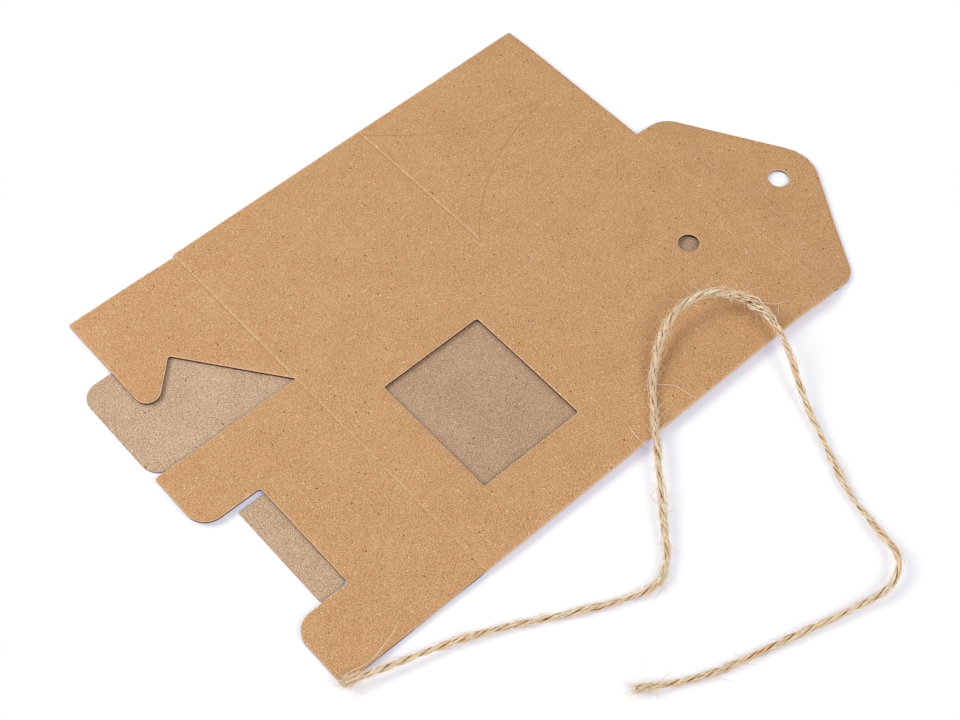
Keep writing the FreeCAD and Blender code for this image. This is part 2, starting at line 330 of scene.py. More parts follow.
def blank_lines():
    """Outline of the blank, then the lines of its window and its three punched holes."""
    tab_half = front_width / 2 - tab_side_gap
    apex = tab_tip_middle + tab_tip_radius / math.sin(tab_taper)
    shoulder = apex - tab_half / math.tan(tab_taper)
    slot_end = score_x - slotted_flap_length
    slot_foot = score_x - slot_from_score
    slot_half = slot_width / 2
    tuck_end = score_x - tuck_flap_length
    shoulder_x = score_x - shoulder_from_score
    shoulder_y = seam_y + seam_gap + shoulder_inset
    tongue_half = slot_half - tongue_clearance

    def below(y):
        return -around - y

    def behind(y):
        return around - y

    def hooked_flap(outer_fold_y, girth_of):
        """A side panel's bottom flap, from its notch to its outer edge."""
        end_x = score_x - side_flap_length
        throat_x = score_x - hook_throat_reach
        tip_drop = hook_throat_across + throat_x - end_x
        return [(x, girth_of(outer_fold_y - drop), radius) for x, drop, radius in (
            (throat_x, hook_throat_across, hook_throat_radius),
            (end_x, tip_drop, hook_tip_radius),
            (end_x, side_flap_inset, cut_radius),
            (score_x, side_flap_inset, 0))]

    outline = rounded_outline([
        (top_x, back_cut_girth, 0),
        (top_x, front_middle_y + tab_half, 0),
        tab_point(shoulder, tab_half, 6.5),
        tab_point(apex, 0, tab_tip_radius),
        tab_point(shoulder, -tab_half, 5.5),
        (top_x, front_middle_y - tab_half, 0),
        (top_x, seam_girth, 0),
        (top_x - glue_flap_end_taper, glue_free_girth, 0),
        (score_x + glue_flap_end_taper, glue_free_girth, 0),
        (score_x, seam_girth, 0),
        *hooked_flap(seam_y, below)[::-1],
        (score_x, below(seam_y - side_width), 0),
        (score_x, -back_fold_y + 0.1, 0),
        (slot_end + short_prong, -back_fold_y + 0.1, cut_radius),
        (slot_end + short_prong, front_middle_y - slot_half, prong_corner_radius),
        (slot_foot, front_middle_y - slot_half, 0.8),
        (slot_foot, front_middle_y + slot_half, 0.8),
        (slot_end, front_middle_y + slot_half, prong_corner_radius),
        (slot_end, front_crease_y - 0.25, cut_radius),
        (score_x, front_crease_y - 0.25, 0),
        (score_x, front_crease_y, 0),
        *hooked_flap(back_fold_y, lambda y: y),
        (score_x, behind(back_fold_y - shoulder_inset - board), 0),
        (shoulder_x, behind(back_fold_y - shoulder_inset - board), shoulder_radius),
        (shoulder_x, behind(back_middle_y + tongue_half), cut_radius),
        (tuck_end, behind(back_middle_y + tongue_half), tongue_corner_radius),
        (tuck_end, behind(back_middle_y - tongue_half), tongue_corner_radius),
        (shoulder_x, behind(back_middle_y - tongue_half), cut_radius),
        (shoulder_x, behind(shoulder_y), shoulder_radius),
        (score_x, behind(shoulder_y), 0),
        (score_x, back_cut_girth, 0),
    ])
    window = rounded_outline([
        (score_x + window_from_score + x, front_middle_y + y, window_corner_radius)
        for x, y in ((0, -window_low_half), (window_length, -window_low_half),
                     (window_length, window_high_half), (0, window_high_half))])
    hole_x = top_x - panel_hole_drop
    holes = ((hole_x, front_middle_y - front_hole_shift), (hole_x, behind(back_middle_y)),
             tab_point(tab_hole_reach, -tab_shift)[:2])
    return [outline, window] + [circle_line(middle, hole_radius) for middle in holes]


# ---- card: scores

cross_x = top_x - 49.7
gusset_radius = 60.0
meet_x = top_x - 3.4
gusset_sweep = math.asin((meet_x - cross_x) / gusset_radius)
# straight scores as (x, girth) to (x, girth), with how far the outer face sinks; the tab's
# fold has been bent once and stands a little proud instead
side_middles = (back_fold_y - side_width / 2, -around - (seam_y - side_width / 2))
straight_scores = [
    ((score_x, front_crease_y), (top_x, front_crease_y), 0.03),
    ((score_x, front_crease_y + 0.4), (score_x, back_fold_y - 0.3), 0.11),
    ((score_x, -back_fold_y + 0.3), (score_x, front_crease_y - 0.4), 0.07),
    ((score_x, seam_girth + 0.6), (score_x, -around + back_fold_y - 0.7), 0.06),
    ((score_x, around - back_fold_y + 0.7), (score_x, back_cut_girth - 0.6), 0.06),
    ((cross_x, side_middles[0] - 21.4), (cross_x, side_middles[0] + 22.2), 0.13),
    ((cross_x, side_middles[1] - 21.4), (cross_x, side_middles[1] + 21.4), 0.07),
    ((top_x, front_middle_y - 31.0), (top_x, front_middle_y + 31.0), -0.05),
]


def off_segment(points, start, end):
    """Signed distance of each point from a straight score, or from its ends beyond them.

    It is positive on the right of a score that runs towards +girth, which is towards +x.
    """
    start, end = np.array(start), np.array(end)
    along = end - start
    off = off_line(points, start, end)
    right = off[:, 0] * along[1] - off[:, 1] * along[0] >= 0
    return np.linalg.norm(off, axis=1) * np.where(right, 1, -1)


def off_gusset(points, middle, side):
    """Signed distance from a curved score, and how far along its arc, from 0 to 1.

    Its circle touches the side panel's middle line at meet_x, so its centre is a radius
    away, on the given side.
    """
    spoke = points - np.array([meet_x, middle + side * gusset_radius])
    bearing = np.arctan2(-spoke[:, 0], -side * spoke[:, 1])
    return np.linalg.norm(spoke, axis=1) - gusset_radius, bearing / gusset_sweep


def pressed(points):
    """How far the scores sink the outer face, in mm, and how the face is marked there.

    Each score is a bell across its line. Its mark is above 0 along a dark hairline on one
    side and below 0 along a pale shoulder on the other: partly scuffing of the scored face,
    partly painted shade and painted highlight, where light from one side falls on a groove.
    A gusset gets a dark hairline down its middle: partly real, partly painted shade in the
    crease. The third value is how pale the tube's folds are: partly scuffed card, partly
    painted highlight.
    """
    sink, score_wear_and_shade = np.zeros(len(points)), np.zeros(len(points))
    for start, end, depth in straight_scores:
        off = off_segment(points, start, end)
        sink += depth * (bell(off, 0.24) - 0.3 * bell(np.abs(off) - 0.55, 0.24))
        # dark on one side of the score, pale on the other: painted shade and painted highlight of
        # a lit groove, with some scuffing
        score_wear_and_shade += 2.3 * depth * (bell(off + 0.22, 0.22) - 1.3 * bell(off - 0.2, 0.2))
    for middle in side_middles:
        for side in (1, -1):
            off, share = off_gusset(points, middle, side)
            there = ramp((share - 0.03) / 0.1) * ramp((1.01 - share) / 0.02)
            sink += 0.05 * there * bell(off, 0.11)
            # dark gusset hairline: partly real, partly painted shade in the crease
            score_wear_and_shade += there * bell(off, 0.12)
    # pale band along the tube's folds: partly scuffed card, partly painted highlight
    fold_off = np.abs(points[:, 1]) - flat_half - bend_length / 2
    on_panel = ramp((points[:, 0] - score_x) / 0.6) * ramp((top_x - points[:, 0]) / 0.6)
    return sink, score_wear_and_shade, on_panel * bell(fold_off, 0.26)


def waviness(points):
    """Slow rise and fall of the card, in mm: three crossing sine waves."""
    x, girth = points.T
    return (0.10 * np.sin(x / 21 + girth / 34 + 0.6)
            + 0.07 * np.sin(x / 33 - girth / 17 + 2.1)
            + 0.04 * np.sin(x / 9.5 + girth / 13 + 4.0))


# ---- card: folding the blank

def fold(points):
    """Where the middle of the card comes to lie, and the outer face's direction, in mm.

    Up to the start of a fold a point of the upper layer keeps y = girth. The fold is half a
    circle of bend_radius, (flat_half + r sin t, r cos t), and past it the lower layer runs
    back. The two layers close up to the fold over the last few millimetres. The flaps and
    the tab aren't bent: there y goes straight on to the fold's edge. Near the bottom score
    the fold is pressed in a little. The glue flap steps up over the back panel's cut edge.
    """
    x, girth = points.T
    side = np.where(girth < 0, -1.0, 1.0)
    past = np.abs(girth) - flat_half
    turn = np.clip(past / bend_radius, 0, math.pi)
    back = np.maximum(past - bend_length, 0)
    y = side * (np.minimum(np.abs(girth), flat_half) + bend_radius * np.sin(turn) - back)
    beyond = np.maximum(score_x - x, x - top_x)
    closed = ramp(1 + (np.abs(y) - flat_half) / 6) * (1 - ramp(beyond / 12))
    spread = (board + layer_gap) / 2 * (1 - closed) + bend_radius * closed
    z = stack / 2 + spread * np.cos(turn)
    out_y, out_z = side * np.sin(turn), np.cos(turn)

    upper = past < bend_length / 2
    straight_y = side * np.where(upper, np.abs(girth), 2 * flat_half + bend_length
                                 - np.abs(girth))
    straight_z = stack / 2 + spread * np.where(upper, 1, -1)
    bent = ramp((x - score_x) / 0.5 + 1) * ramp((top_x - x) / 0.5 + 1)
    y = bent * y + (1 - bent) * straight_y
    z = bent * z + (1 - bent) * straight_z
    out_y = bent * out_y
    out_z = bent * out_z + (1 - bent) * np.where(upper, 1.0, -1.0)
    size = np.hypot(out_y, out_z)

    pressed_end = bell(np.maximum(x - score_x, 0), 11)
    y -= side * 0.10 * pressed_end * bell(past - bend_length / 2, 0.7)

    glued = np.maximum(seam_girth - girth, 0)
    stepped = np.clip(glued / step_length, 0, 1)
    y -= (step_length - seam_gap) * stepped
    z += board * stepped ** 2
    return np.column_stack([x, y, z]), np.column_stack([0 * x, out_y / size, out_z / size])


def lift(points, middle):
    """How far the card stands off the flat, as a move in mm for each point.

    The flaps curl up slowly and the tab sags. The front panel springs away from the layer
    below in a low bow, 1 - (across / half)^2 across it, held down at both of its creases.
    The front fold stands up off the table and a little out, and flares at its top end. The
    free corner of the front flap droops towards the table.
    """
    x, girth = points.T
    upper = middle[:, 2] > stack / 2
    flap = np.clip((score_x - x) / 38, 0, None)
    tab = ramp((x - top_x) / 13)
    across = np.clip(np.abs(girth - front_middle_y) / (front_width / 2), 0, 1)
    bow = 0.32 * (1 - across ** 2) * ramp((x - score_x + 12) / 24)
    curl = np.where(upper, 0.45 * flap ** 1.5 - 0.84 * tab + bow, 0.18 * flap ** 1.5)
    raised = (0.8 + 0.7 * ramp((x + 40) / 60)) * ramp((x - score_x + 8) / 16)
    near_fold = ramp((-middle[:, 1] - 38) / 16.5)
    raised *= near_fold * ramp((65 - x) / 11)
    outward = 0.33 * raised + 0.5 * near_fold * ramp((x - 47) / 9)
    droop = 0.45 * ramp((score_x - x) / 14) + 0.4 * ramp((score_x - 24 - x) / 10)
    droop *= upper * ramp((-28 - middle[:, 1]) / 20)
    loose = 0.5 * ramp(np.abs(np.abs(girth) - flat_half) / 12)
    rise = curl + raised + loose * (waviness(points) + 0.19) * np.where(upper, 1, 0.3)
    return np.column_stack([0.24 * droop, 0.38 * droop - outward, rise - droop])


def inside(points, lines):
    """Whether each point lies in the blank: crossings of the outlines are odd in number."""
    odd = np.zeros(len(points), bool)
    x, girth = points.T
    for line in lines:
        after = np.roll(line, -1, 0)
        for chunk in range(0, len(line), 256):
            a, b = line[chunk:chunk + 256], after[chunk:chunk + 256]
            spans = (a[:, 1] > girth[:, None]) != (b[:, 1] > girth[:, None])
            rise = np.where(a[:, 1] == b[:, 1], 1e-9, b[:, 1] - a[:, 1])
            cut = a[:, 0] + (girth[:, None] - a[:, 1]) * (b[:, 0] - a[:, 0]) / rise
            odd ^= ((spans & (x[:, None] < cut)).sum(1) % 2).astype(bool)
    return odd


def off_lines(points, lines):
    """Distance of each point from the nearest outline."""
    nearest = np.full(len(points), 1e9)
    for line in lines:
        after = np.roll(line, -1, 0)
        for a, b in zip(line, after):
            near = (np.abs(points - (a + b) / 2) < np.abs(b - a) / 2 + 0.5).all(1)
            if near.any():
                off = np.linalg.norm(off_line(points[near], a, b), axis=1)
                nearest[near] = np.minimum(nearest[near], off)
    return nearest


def rows_along(start, end, offsets, step):
    """Rows of points beside a straight line, one row at each offset."""
    start, end = np.array(start, float), np.array(end, float)
    length = np.linalg.norm(end - start)
    along = (end - start) / length
    across = np.array([-along[1], along[0]])
    share = np.linspace(0, length, max(2, round(length / step)) + 1)[:, None]
    return [start + share * along + offset * across for offset in offsets]


def both_sides(*offsets):
    """The offsets on either side of a line, and the line itself."""
    return np.array([-offset for offset in offsets[::-1]] + [0, *offsets])


def shaping_rows(low, high):
    """Close rows of points along the scores and the folds, which carry the card's shape."""
    across = both_sides(0.1, 0.2, 0.3, 0.42, 0.55, 0.8, 1.1)
    rows = []
    for start, end, _ in straight_scores:
        rows += rows_along(start, end, across, 1.3)
    for middle in side_middles:
        for side in (1, -1):
            turn = np.linspace(0, gusset_sweep, 60)
            for radius in gusset_radius + both_sides(0.06, 0.12, 0.2, 0.35):
                rows.append(np.column_stack([
                    meet_x - radius * np.sin(turn),
                    middle + side * (gusset_radius - radius * np.cos(turn))]))
    for side in (1, -1):
        for girth in flat_half + np.linspace(-0.15, bend_length + 0.15, 15):
            rows += rows_along((low - 3, side * girth), (high + 3, side * girth), [0], 1.6)
    for end_x in (score_x - 0.25, top_x + 0.25):
        for side in (1, -1):
            girth = side * (flat_half + bend_length / 2)
            rows += rows_along((end_x, girth - 1.2), (end_x, girth + 1.2),
                               np.linspace(-0.25, 0.25, 5), 0.4)
    rows += rows_along((top_x + 0.45, -back_fold_y), (top_x + 0.45, front_crease_y),
                       np.linspace(-0.45, 0.45, 9), 1.3)
    return rows


def blank_points(lines):
    """Points that the blank is divided at, and the edges that its triangles keep.

    The points are an even grid and the shaping rows. Neighbours in a row are joined, so that
    every score and fold is smooth along its length, and a row that runs on past an outline
    is cut there.
    """
    low, high = lines[0].min(0), lines[0].max(0)
    grid_x, grid_g = np.meshgrid(np.arange(low[0], high[0], 1.6), np.arange(low[1], high[1], 1.6))
    shifted = grid_x + 0.8 * (np.arange(len(grid_x)) % 2)[:, None]
    even = np.column_stack([shifted.ravel(), grid_g.ravel()])
    even = even[inside(even, lines) & (off_lines(even, lines) > 0.4)]
    rows = shaping_rows(low[0], high[0])
    points = np.concatenate(rows)
    row = np.repeat(np.arange(len(rows)), [len(r) for r in rows])
    clear = off_lines(points, lines) > 0.16
    points, row = points[clear], row[clear]
    within = inside(points, lines)
    joined = (row[1:] == row[:-1]) & (within[1:] | within[:-1])
    first = np.flatnonzero(joined)
    edges = np.column_stack([first, first + 1])
    used = within.copy()
    used[edges.ravel()] = True
    number = np.cumsum(used) - 1
    return np.concatenate([points[used], even]), number[edges]


def rim_insets(lines):
    """A second line of points 0.22 mm inside each outline, where the rounded rims begin."""
    insets = []
    for line in lines:
        along = np.roll(line, -1, 0) - np.roll(line, 1, 0)
        across = unit(np.column_stack([-along[:, 1], along[:, 0]]))
        inset = line + across * 0.22
        turned_in = inside(inset, lines)
        insets.append(np.where(turned_in[:, None], inset, line - across * 0.22))
    insets = np.concatenate(insets)
    return insets[inside(insets, lines) & (off_lines(insets, lines) > 0.17)]


def divided_blank(lines):
    """The blank's points in its plan, and its triangles, which keep the outlines and rows."""
    ring_edges, start = [], 0
    for line in lines:
        index = np.arange(len(line)) + start
        ring_edges.append(np.column_stack([index, np.roll(index, -1)]))
        start += len(line)
    insets = rim_insets(lines)
    dividing, kept_edges = blank_points(lines)
    plan = np.concatenate(lines + [insets, dividing])
    edges = np.concatenate([np.concatenate(ring_edges), kept_edges + start + len(insets)])
    plan_out, _, triangles, _, _, _ = delaunay_2d_cdt(
        [Vector(p) for p in plan.tolist()], edges.tolist(), [], 0, 1e-4)
    plan = np.array([p[:] for p in plan_out])
    triangles = np.array(triangles)
    triangles = triangles[inside(plan[triangles].mean(1), lines)]
    used = np.unique(triangles)
    renumber = np.full(len(plan), -1)
    renumber[used] = np.arange(len(used))
    return plan[used], renumber[triangles]


def make_card():
    """The whole card as one closed shell: outer face, inner face and cut edges.

    The blank is triangulated in its plan, folded, and each face is set half the card's
    thickness off the middle: middle +- out * (board / 2) - out * pressed. Near a cut edge
    both faces draw together a little, as die-cut card does.
    """
    lines = blank_lines()
    plan, triangles = divided_blank(lines)
    count = len(plan)

    middle, out = fold(plan)
    middle += lift(plan, middle)
    sink, score_wear_and_shade, rubbed_and_painted_light = pressed(plan)
    sink = sink[:, None]
    rim_near = 1 - ramp(off_lines(plan, lines) / 0.23)
    pinch = 0.13 * rim_near[:, None]
    lip = ramp((middle[:, 2:] - 0.8) / 0.2)
    burr = np.where(out[:, 2:] > 0.5, 0.5 + 0.9 * lip, -0.5) * pinch
    outer = middle + out * (board / 2 - sink - pinch)
    inner = middle - out * (board / 2 + 0.8 * sink + burr)

    corner = plan[triangles]
    area = np.cross(corner[:, 1] - corner[:, 0], corner[:, 2] - corner[:, 0])
    flipped = np.where((area < 0)[:, None], triangles[:, ::-1], triangles)
    directed = np.concatenate([flipped[:, [0, 1]], flipped[:, [1, 2]], flipped[:, [2, 0]]])
    keys = directed.min(1) * count + directed.max(1)
    _, first, times = np.unique(keys, return_index=True, return_counts=True)
    rim = directed[first[times == 1]]
    walls = np.column_stack([rim[:, 1], rim[:, 0], rim[:, 0] + count, rim[:, 1] + count])
    faces = flipped.tolist() + (flipped[:, ::-1] + count).tolist() + walls.tolist()
    made = mesh_object("folded_card", np.concatenate([outer, inner]) * MM, faces,
                       sharp_over=50)
    depth = np.repeat([0.0, 30.0], count)
    point_values(made, "plan", np.column_stack([np.tile(plan, (2, 1)), depth]))
    # score marks, and pale folds and cut rims: partly scuffed card, partly painted shade and
    # painted highlight
    wear_and_painted_light = np.concatenate([score_wear_and_shade, np.minimum(0.3 * score_wear_and_shade, 0)])
    pale = np.concatenate([np.maximum(rubbed_and_painted_light, 0.85 * rim_near), 0 * rubbed_and_painted_light])
    point_values(made, "wear_and_painted_light", np.column_stack([wear_and_painted_light, pale, 0 * wear_and_painted_light]))
    kinds = np.repeat([0, 1, 2], [len(flipped), len(flipped), len(walls)]).astype(np.int32)
    for material in (card_material("kraft_face", kraft_face_colours),
                     card_material("grey_inner_face", inner_face_colours, inner=True),
                     cut_edge_material()):
        made.data.materials.append(material)
    made.data.polygons.foreach_set("material_index", kinds)
    made.data.update()
    return made


# ---- card: materials

kraft_face_colours = dict(
    dark=colour(158, 108, 64), base=colour(206, 157, 109), light=colour(239, 201, 157),
    speck=colour(84, 44, 20), fleck=colour(250, 230, 200))
inner_face_colours = dict(
    dark=colour(146, 115, 88), base=colour(200, 168, 137), light=colour(240, 216, 190),
    speck=colour(74, 50, 36), fleck=colour(252, 240, 222))


def scattered(tree, plan, spacing, size, share, stretch, degrees):
    """Small separate spots of a size in mm: 1 in the middle of a spot, 0 off it.

    The face is divided into cells of the spacing, and a share of the cells hold a spot each.
    """
    place = turned(tree, plan, degrees, (1, 1 / stretch, 1), (13 * spacing, 7 * size, 0))
    number, away = cells(tree, place, 1 / spacing)
    chosen = ranged(tree, number, 1 - share, 1.005 - share)
    spot = ranged(tree, away, 0.65 * size / spacing, 0.35 * size / spacing)
    return maths(tree, "MULTIPLY", chosen, spot)


def card_material(name, tones, inner=False):
    """Recycled card: fine mottle, short curled fibres, pale flecks and dark specks.

    Inside the tube the inner face is darker than on the flaps: painted shade. Along the
    scores the face has a dark hairline and a pale shoulder, and the folds and cut rims are
    pale: partly scuffed card, partly painted shade and painted highlight.
    """
    material, tree, shader = new_material(name)
    plan = stored(tree, "plan")

    bits, _ = cells(tree, plan, 6.4)
    grain = noise(tree, plan, 4.0, detail=0.0)
    mottle = noise(tree, plan, 1.5, detail=1.0, roughness=0.6)
    patch = noise(tree, plan, 0.42, detail=1.0)
    cloud = noise(tree, plan, 0.09, detail=2.0)
    fibres = [noise(tree, turned(tree, plan, degrees, (1.3, 5.5, 1), (3.1 * degrees, 0, 0)),
                    1.0, detail=1.0, distortion=0.9)
              for degrees in (12, 68, 131)]
    lay = maths(tree, "ADD", maths(tree, "ADD", fibres[0], fibres[1]), fibres[2])
    tone = maths(tree, "MULTIPLY_ADD", grain, 3.6, maths(tree, "MULTIPLY", lay, 0.22))
    for part, share in ((bits, 1.2), (mottle, 0.16), (patch, 0.42), (cloud, 0.55)):
        tone = maths(tree, "MULTIPLY_ADD", part, share, tone)
    middle = (3.6 + 3 * 0.22 + 1.2 + 0.16 + 0.42 + 0.55) / 2
    reach = 1.45 if inner else 1.55
    light = ranged(tree, tone, middle, middle + reach)
    dark = ranged(tree, tone, middle, middle - reach)
    shade = mixed(tree, light, tones["base"], tones["light"])
    shade = mixed(tree, dark, shade, tones["dark"])

    pale = ranged(tree, noise(tree, turned(tree, plan, 40, (0.7, 5.0, 1)), 1.2, distortion=1.5),
                  0.71, 0.75)
    shade = mixed(tree, maths(tree, "MULTIPLY", pale, 0.85), shade, tones["fleck"])
    for spacing, size, share, strength, tint, stretch in (
            (1.3, 0.20, 0.30, 0.34, "speck", 1.7), (1.2, 0.19, 0.25, 0.45, "fleck", 1.5),
            (2.9, 0.26, 0.22, 0.60, "fleck", 2.0), (2.6, 0.25, 0.24, 0.60, "speck", 1.8),
            (5.3, 0.32, 0.30, 0.92, "speck", 1.4)):
        spots = scattered(tree, plan, spacing, size, share, stretch, 47 * spacing)
        shade = mixed(tree, maths(tree, "MULTIPLY", spots, strength), shade, tones[tint])

    # dark hairline and pale shoulder along the scores: partly scuffing, partly painted shade and
    # painted highlight
    wear_and_painted_light = stored(tree, "wear_and_painted_light")
    broken = ranged(tree, noise(tree, plan, 0.9, detail=2.0), 0.35, 0.6, 0.25, 1.0)
    rubbed_and_painted_light = maths(tree, "MULTIPLY", along_axis(tree, wear_and_painted_light, 0), broken)
    shade = mixed(tree, ranged(tree, rubbed_and_painted_light, 0, 1, 0.0, 0.6), shade, tones["dark"])
    shade = mixed(tree, ranged(tree, rubbed_and_painted_light, 0, -1, 0.0, 0.75), shade, tones["fleck"])
    # pale folds and cut rims of the outer face: partly scuffed card, partly painted highlight
    shade = mixed(tree, maths(tree, "MULTIPLY", along_axis(tree, wear_and_painted_light, 1), 0.85), shade,
                  colour(250, 216, 188))
    # painted shade: the inner face is darkened where it lies inside the tube
    if inner:
        painted_tube_shade = ranged(tree, along_axis(tree, plan, 0), score_x - 6, score_x + 6, smooth=True)
        darker = mixed(tree, 1.0, shade, (0.87, 0.83, 0.80, 1.0), "MULTIPLY")
        shade = mixed(tree, painted_tube_shade, shade, darker)

    height = maths(tree, "MULTIPLY_ADD", grain, 0.5, maths(tree, "MULTIPLY", lay, 0.3))
    fill(tree, shader, {"Base Color": shade, "Roughness": 0.86, "Specular IOR Level": 0.2,
                        "Normal": bumped(tree, height, 0.5, 0.00005)})
    return material


def cut_edge_material():
    """The card's pulp core, pale at the outer face and dark brown below it: partly the
    pulp's own brown, partly painted shade under the rim.
    """
    material, tree, shader = new_material("cut_edge")
    plan = stored(tree, "plan")
    streak = noise(tree, plan, 2.5, detail=3.0, roughness=0.6)
    shade = mixed(tree, ranged(tree, streak, 0.3, 0.7), colour(214, 168, 124),
                  colour(240, 206, 168))
    # darker down the cut wall: partly the pulp's own brown, partly painted shade under the rim
    through = along_axis(tree, plan, 2)
    shade = mixed(tree, ranged(tree, through, 0.3, 4), shade, colour(72, 34, 12))
    fill(tree, shader, {"Base Color": shade, "Roughness": 0.92, "Specular IOR Level": 0.05})
    return material


card = make_card()
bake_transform(card)
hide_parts("carton", "closing_tab")


# ---- twine

ply_pitch = 8.7
twine_route = [
    (-83.0, -54.2, 2.6), (-73.8, -57.4, 2.4), (-56.5, -63.0, 1.1), (-36.4, -74.2, 0.9),
    (-22.6, -80.8, 1.2), (-16.0, -77.0, 1.6), (-10.7, -69.9, 2.6), (0.0, -57.4, 3.4),
    (12.2, -43.3, 3.4), (23.7, -36.7, 6.2), (32.8, -37.5, 7.6), (38.5, -42.6, 7.6),
    (40.4, -51.0, 7.4), (38.3, -59.5, 4.9), (32.0, -70.0, 2.6), (27.8, -80.5, 1.2),
    (22.2, -92.0, 1.4), (20.0, -102.0, 2.4), (18.6, -109.3, 2.8), (12.2, -112.3, 2.2),
    (1.0, -109.2, 1.2), (-15.0, -104.2, 0.9), (-30.5, -99.8, 0.9), (-41.2, -93.0, 1.8),
]


def smooth_route(points, step):
    """Points every step along the NURBS line that the route's points control, in mm."""
    line = bpy.data.curves.new("route", "CURVE")
    line.dimensions = "3D"
    spline = line.splines.new("NURBS")
    spline.points.add(len(points) - 1)
    four = np.column_stack([np.array(points, float), np.ones(len(points))])
    spline.points.foreach_set("co", four.ravel())
    spline.order_u = 3
    spline.use_endpoint_u = True
    spline.resolution_u = 32
    holder = bpy.data.objects.new("route", line)
    mesh = bpy.data.meshes.new_from_object(holder)
    dense = np.zeros(len(mesh.vertices) * 3)
    mesh.vertices.foreach_get("co", dense)
    dense = dense.reshape(-1, 3)
    bpy.data.objects.remove(holder)
    bpy.data.curves.remove(line)
    bpy.data.meshes.remove(mesh)
    travelled = np.concatenate([[0], np.linalg.norm(np.diff(dense, axis=0), axis=1).cumsum()])
    stops = np.linspace(0, travelled[-1], round(travelled[-1] / step) + 1)
    centres = np.column_stack([np.interp(stops, travelled, dense[:, k]) for k in range(3)])
    return centres, stops


def directions(centres):
    """Along, sideways and upright at each centre: sideways is along x the vertical."""
    along = unit(np.gradient(centres, axis=0))
    sideways = unit(np.cross(along, (0, 0, 1)))
    return along, sideways, np.cross(sideways, along)


def waves(seed, *coordinates, count=6, shortest=1.0, longest=6.0):
    """Sum of sines of random direction and wavelength over the coordinates, about -1 to 1."""
    rng = np.random.default_rng(seed)
    total = 0
    for _ in range(count):
        phase = rng.uniform(0, math.tau)
        for value in coordinates:
            phase = phase + value * math.tau / rng.uniform(shortest, longest) \
                * rng.choice([-1, 1])
        total = total + np.sin(phase)
    return total / math.sqrt(count)


def tubes(lines, radius, sides):
    """Round tubes with closed ends along many lines at once.

    The lines are an array of (tubes, steps, 3), and the radii one of (tubes, steps).
    """
    along = unit(np.gradient(lines, axis=1))
    across = unit(np.cross(along, (0.31, 0.17, 0.93)))
    upward = np.cross(across, along)
    t = (np.arange(sides) / sides * math.tau)[:, None]
    spoke = across[:, :, None] * np.cos(t) + upward[:, :, None] * np.sin(t)
    rings = lines[:, :, None] + spoke * radius[:, :, None, None]
    count, steps, _ = lines.shape
    row, col = np.meshgrid(np.arange(steps - 1), np.arange(sides), indexing="ij")
    a, b = row * sides + col, row * sides + (col + 1) % sides
    quads = np.stack([b, a, a + sides, b + sides], -1).reshape(-1, 4)
    each = steps * sides
    faces = (quads[None] + (np.arange(count) * each)[:, None, None]).reshape(-1, 4).tolist()
    first = np.arange(sides)
    for start in np.arange(count) * each:
        faces.append((first + start).tolist())
        faces.append((first[::-1] + start + each - sides).tolist())
    return rings.reshape(-1, 3), faces


